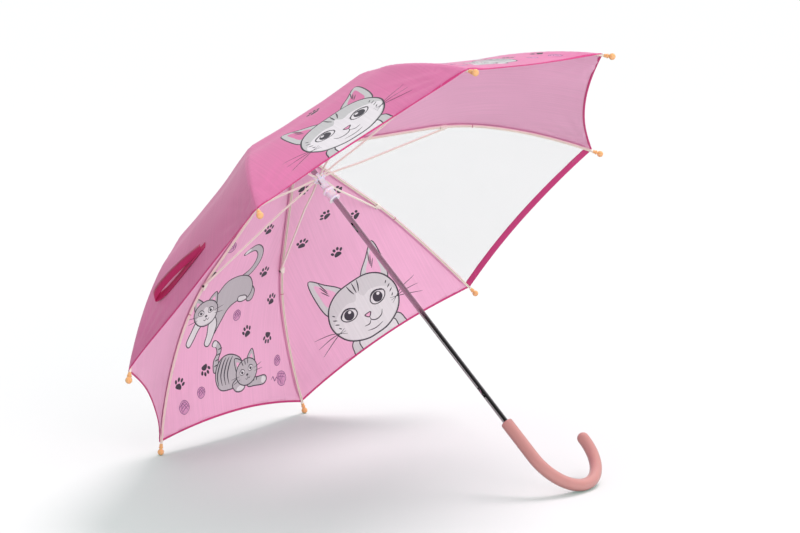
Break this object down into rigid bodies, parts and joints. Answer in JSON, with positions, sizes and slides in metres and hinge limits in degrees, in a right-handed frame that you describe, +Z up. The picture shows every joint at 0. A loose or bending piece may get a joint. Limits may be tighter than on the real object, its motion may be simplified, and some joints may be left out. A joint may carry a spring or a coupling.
{
  "type": "children's umbrella",
  "caption": "Open stick umbrella for a child: a ribbed pink cover with one clear panel, a runner that folds it along a steel shaft, and a crook handle.",
  "frame": {"origin": "on the floor under the middle of the open umbrella, which lies on two rib tips and the bend of its handle", "axes": "+Z up from the floor; +X along the floor from the cover towards the handle; +Y sideways, the way the crook opens"},
  "size_m": [0.558, 0.7498, 0.5522],
  "materials": {
    "steel_tube": "bright nickel-plated tube",
    "handle_pink": "glossy salmon pink",
    "tip_peach": "peach moulded plastic",
    "frosted_plastic": "milky translucent plastic",
    "frame_cream": "cream paint on thin steel",
    "wire_steel": "thin steel wire",
    "rivet_dark": "darkened steel",
    "cover_pink": "fine pink polyester weave",
    "cover_clear": "clear soft film",
    "strap_magenta": "folded magenta fabric band"
  },
  "bodies": {
    "root": {"shaft": "steel_tube", "handle": "handle_pink", "ferrule_cap": "tip_peach", "crown": "frosted_plastic", "crown_wire": "wire_steel", "rosette": "cover_pink"},
    "runner": {"runner": "frosted_plastic", "runner_wire": "wire_steel"},
    "top_catch": {"top_catch": "wire_steel"},
    "bottom_catch": {"bottom_catch": "wire_steel"},
    "rib_1": {"rib_1": "frame_cream", "tip_1": "tip_peach", "rib_clip_1": "frame_cream"},
    "rib_2": {"rib_2": "frame_cream", "tip_2": "tip_peach", "rib_clip_2": "frame_cream"},
    "rib_3": {"rib_3": "frame_cream", "tip_3": "tip_peach", "rib_clip_3": "frame_cream"},
    "rib_4": {"rib_4": "frame_cream", "tip_4": "tip_peach", "rib_clip_4": "frame_cream"},
    "rib_5": {"rib_5": "frame_cream", "tip_5": "tip_peach", "rib_clip_5": "frame_cream"},
    "rib_6": {"rib_6": "frame_cream", "tip_6": "tip_peach", "rib_clip_6": "frame_cream"},
    "rib_7": {"rib_7": "frame_cream", "tip_7": "tip_peach", "rib_clip_7": "frame_cream"},
    "rib_8": {"rib_8": "frame_cream", "tip_8": "tip_peach", "rib_clip_8": "frame_cream"},
    "stretcher_1": {"stretcher_1": "frame_cream", "rivet_1": "rivet_dark"},
    "stretcher_2": {"stretcher_2": "frame_cream", "rivet_2": "rivet_dark"},
    "stretcher_3": {"stretcher_3": "frame_cream", "rivet_3": "rivet_dark"},
    "stretcher_4": {"stretcher_4": "frame_cream", "rivet_4": "rivet_dark"},
    "stretcher_5": {"stretcher_5": "frame_cream", "rivet_5": "rivet_dark"},
    "stretcher_6": {"stretcher_6": "frame_cream", "rivet_6": "rivet_dark"},
    "stretcher_7": {"stretcher_7": "frame_cream", "rivet_7": "rivet_dark"},
    "stretcher_8": {"stretcher_8": "frame_cream", "rivet_8": "rivet_dark"},
    "panel_1": {"panel_1": "cover_pink"},
    "panel_2": {"panel_2": "cover_pink"},
    "panel_3": {"panel_3": "cover_clear"},
    "panel_4": {"panel_4": "cover_pink"},
    "panel_5": {"panel_5": "cover_pink"},
    "panel_6": {"panel_6": "cover_pink"},
    "panel_7": {"panel_7": "cover_pink", "strap": "strap_magenta", "strap_snap": "wire_steel"},
    "panel_8": {"panel_8": "cover_pink"}
  },
  "joints": [
    {"name": "runner_slide", "type": "slide", "parent": "root", "child": "runner", "axis": [-0.7322, 0, 0.6811], "range_m": [-0.36352, 0], "deforming": ["panel_1", "panel_2", "panel_3", "panel_4", "panel_5", "panel_6", "panel_7", "panel_8", "strap", "strap_snap", "top_catch", "bottom_catch"]},
    {"name": "rib_1_fold", "type": "hinge", "parent": "root", "child": "rib_1", "pos_m": [-0.16249, -0.00306, 0.401], "axis": [0.2606, -0.9239, 0.2802], "range_deg": [0, 62.11]},
    {"name": "rib_2_fold", "type": "hinge", "parent": "root", "child": "rib_2", "pos_m": [-0.16249, 0.00306, 0.401], "axis": [-0.2606, -0.9239, -0.2802], "range_deg": [0, 62.11]},
    {"name": "rib_3_fold", "type": "hinge", "parent": "root", "child": "rib_3", "pos_m": [-0.15954, 0.00739, 0.40417], "axis": [-0.6292, -0.3827, -0.6765], "range_deg": [0, 62.11]},
    {"name": "rib_4_fold", "type": "hinge", "parent": "root", "child": "rib_4", "pos_m": [-0.15537, 0.00739, 0.40865], "axis": [-0.6292, 0.3827, -0.6765], "range_deg": [0, 62.11]},
    {"name": "rib_5_fold", "type": "hinge", "parent": "root", "child": "rib_5", "pos_m": [-0.15242, 0.00306, 0.41182], "axis": [-0.2606, 0.9239, -0.2802], "range_deg": [0, 62.11]},
    {"name": "rib_6_fold", "type": "hinge", "parent": "root", "child": "rib_6", "pos_m": [-0.15242, -0.00306, 0.41182], "axis": [0.2606, 0.9239, 0.2802], "range_deg": [0, 62.11]},
    {"name": "rib_7_fold", "type": "hinge", "parent": "root", "child": "rib_7", "pos_m": [-0.15537, -0.00739, 0.40865], "axis": [0.6292, 0.3827, 0.6765], "range_deg": [0, 62.11]},
    {"name": "rib_8_fold", "type": "hinge", "parent": "root", "child": "rib_8", "pos_m": [-0.15954, -0.00739, 0.40417], "axis": [0.6292, -0.3827, 0.6765], "range_deg": [0, 62.11]},
    {"name": "stretcher_1_fold", "type": "hinge", "parent": "runner", "child": "stretcher_1", "pos_m": [-0.12668, -0.00287, 0.36832], "axis": [-0.2606, 0.9239, -0.2802], "range_deg": [0, 78.68]},
    {"name": "stretcher_2_fold", "type": "hinge", "parent": "runner", "child": "stretcher_2", "pos_m": [-0.12668, 0.00287, 0.36832], "axis": [0.2606, 0.9239, 0.2802], "range_deg": [0, 78.68]},
    {"name": "stretcher_3_fold", "type": "hinge", "parent": "runner", "child": "stretcher_3", "pos_m": [-0.12391, 0.00693, 0.37129], "axis": [0.6292, 0.3827, 0.6765], "range_deg": [0, 78.68]},
    {"name": "stretcher_4_fold", "type": "hinge", "parent": "runner", "child": "stretcher_4", "pos_m": [-0.12, 0.00693, 0.37549], "axis": [0.6292, -0.3827, 0.6765], "range_deg": [0, 78.68]},
    {"name": "stretcher_5_fold", "type": "hinge", "parent": "runner", "child": "stretcher_5", "pos_m": [-0.11724, 0.00287, 0.37847], "axis": [0.2606, -0.9239, 0.2802], "range_deg": [0, 78.68]},
    {"name": "stretcher_6_fold", "type": "hinge", "parent": "runner", "child": "stretcher_6", "pos_m": [-0.11724, -0.00287, 0.37847], "axis": [-0.2606, -0.9239, -0.2802], "range_deg": [0, 78.68]},
    {"name": "stretcher_7_fold", "type": "hinge", "parent": "runner", "child": "stretcher_7", "pos_m": [-0.12, -0.00693, 0.37549], "axis": [-0.6292, -0.3827, -0.6765], "range_deg": [0, 78.68]},
    {"name": "stretcher_8_fold", "type": "hinge", "parent": "runner", "child": "stretcher_8", "pos_m": [-0.12391, -0.00693, 0.37129], "axis": [-0.6292, 0.3827, -0.6765], "range_deg": [0, 78.68]},
    {"name": "panel_1_fold", "type": "hinge", "parent": "rib_1", "child": "panel_1", "pos_m": [-0.0674, 0, 0.43123], "axis": [-0.9511, 0, -0.3088], "range_deg": [0, 45.55]},
    {"name": "panel_2_fold", "type": "hinge", "parent": "rib_2", "child": "panel_2", "pos_m": [-0.08326, -0.05622, 0.41418], "axis": [-0.7768, 0.6179, -0.1214], "range_deg": [0, 45.55]},
    {"name": "panel_3_fold", "type": "hinge", "parent": "rib_3", "child": "panel_3", "pos_m": [-0.12155, -0.07951, 0.37301], "axis": [-0.3559, 0.8739, 0.3311], "range_deg": [0, 45.55]},
    {"name": "panel_4_fold", "type": "hinge", "parent": "rib_4", "child": "panel_4", "pos_m": [-0.15984, -0.05622, 0.33185], "axis": [0.0649, 0.6179, 0.7835], "range_deg": [0, 45.55]},
    {"name": "panel_5_fold", "type": "hinge", "parent": "rib_5", "child": "panel_5", "pos_m": [-0.1757, 0, 0.31479], "axis": [0.2393, 0, 0.971], "range_deg": [0, 45.55]},
    {"name": "panel_6_fold", "type": "hinge", "parent": "rib_6", "child": "panel_6", "pos_m": [-0.15984, 0.05622, 0.33185], "axis": [0.0649, -0.6179, 0.7835], "range_deg": [0, 45.55]},
    {"name": "panel_7_fold", "type": "hinge", "parent": "rib_7", "child": "panel_7", "pos_m": [-0.12155, 0.07951, 0.37301], "axis": [-0.3559, -0.8739, 0.3311], "range_deg": [0, 45.55]},
    {"name": "panel_8_fold", "type": "hinge", "parent": "rib_8", "child": "panel_8", "pos_m": [-0.08326, 0.05622, 0.41418], "axis": [-0.7768, -0.6179, -0.1214], "range_deg": [0, 45.55]},
    {"name": "top_catch_press", "type": "hinge", "parent": "root", "child": "top_catch", "pos_m": [-0.04031, -0.00175, 0.29745], "axis": [-0.6811, 0, -0.7322], "range_deg": [0, 5], "stiffness_Nm_per_rad": 0.9},
    {"name": "bottom_catch_press", "type": "hinge", "parent": "root", "child": "bottom_catch", "pos_m": [0.13139, -0.00175, 0.13774], "axis": [0.6811, 0, 0.7322], "range_deg": [0, 5], "stiffness_Nm_per_rad": 0.9}
  ],
  "couplings": [
    {"joint": "rib_1_fold", "follows": "runner_slide", "rad_per_m": -2.9815},
    {"joint": "rib_2_fold", "follows": "runner_slide", "rad_per_m": -2.9815},
    {"joint": "rib_3_fold", "follows": "runner_slide", "rad_per_m": -2.9815},
    {"joint": "rib_4_fold", "follows": "runner_slide", "rad_per_m": -2.9815},
    {"joint": "rib_5_fold", "follows": "runner_slide", "rad_per_m": -2.9815},
    {"joint": "rib_6_fold", "follows": "runner_slide", "rad_per_m": -2.9815},
    {"joint": "rib_7_fold", "follows": "runner_slide", "rad_per_m": -2.9815},
    {"joint": "rib_8_fold", "follows": "runner_slide", "rad_per_m": -2.9815},
    {"joint": "stretcher_1_fold", "follows": "runner_slide", "rad_per_m": -3.7773},
    {"joint": "stretcher_2_fold", "follows": "runner_slide", "rad_per_m": -3.7773},
    {"joint": "stretcher_3_fold", "follows": "runner_slide", "rad_per_m": -3.7773},
    {"joint": "stretcher_4_fold", "follows": "runner_slide", "rad_per_m": -3.7773},
    {"joint": "stretcher_5_fold", "follows": "runner_slide", "rad_per_m": -3.7773},
    {"joint": "stretcher_6_fold", "follows": "runner_slide", "rad_per_m": -3.7773},
    {"joint": "stretcher_7_fold", "follows": "runner_slide", "rad_per_m": -3.7773},
    {"joint": "stretcher_8_fold", "follows": "runner_slide", "rad_per_m": -3.7773},
    {"joint": "panel_1_fold", "follows": "runner_slide", "rad_per_m": -2.1863},
    {"joint": "panel_2_fold", "follows": "runner_slide", "rad_per_m": -2.1863},
    {"joint": "panel_3_fold", "follows": "runner_slide", "rad_per_m": -2.1863},
    {"joint": "panel_4_fold", "follows": "runner_slide", "rad_per_m": -2.1863},
    {"joint": "panel_5_fold", "follows": "runner_slide", "rad_per_m": -2.1863},
    {"joint": "panel_6_fold", "follows": "runner_slide", "rad_per_m": -2.1863},
    {"joint": "panel_7_fold", "follows": "runner_slide", "rad_per_m": -2.1863},
    {"joint": "panel_8_fold", "follows": "runner_slide", "rad_per_m": -2.1863}
  ]
}
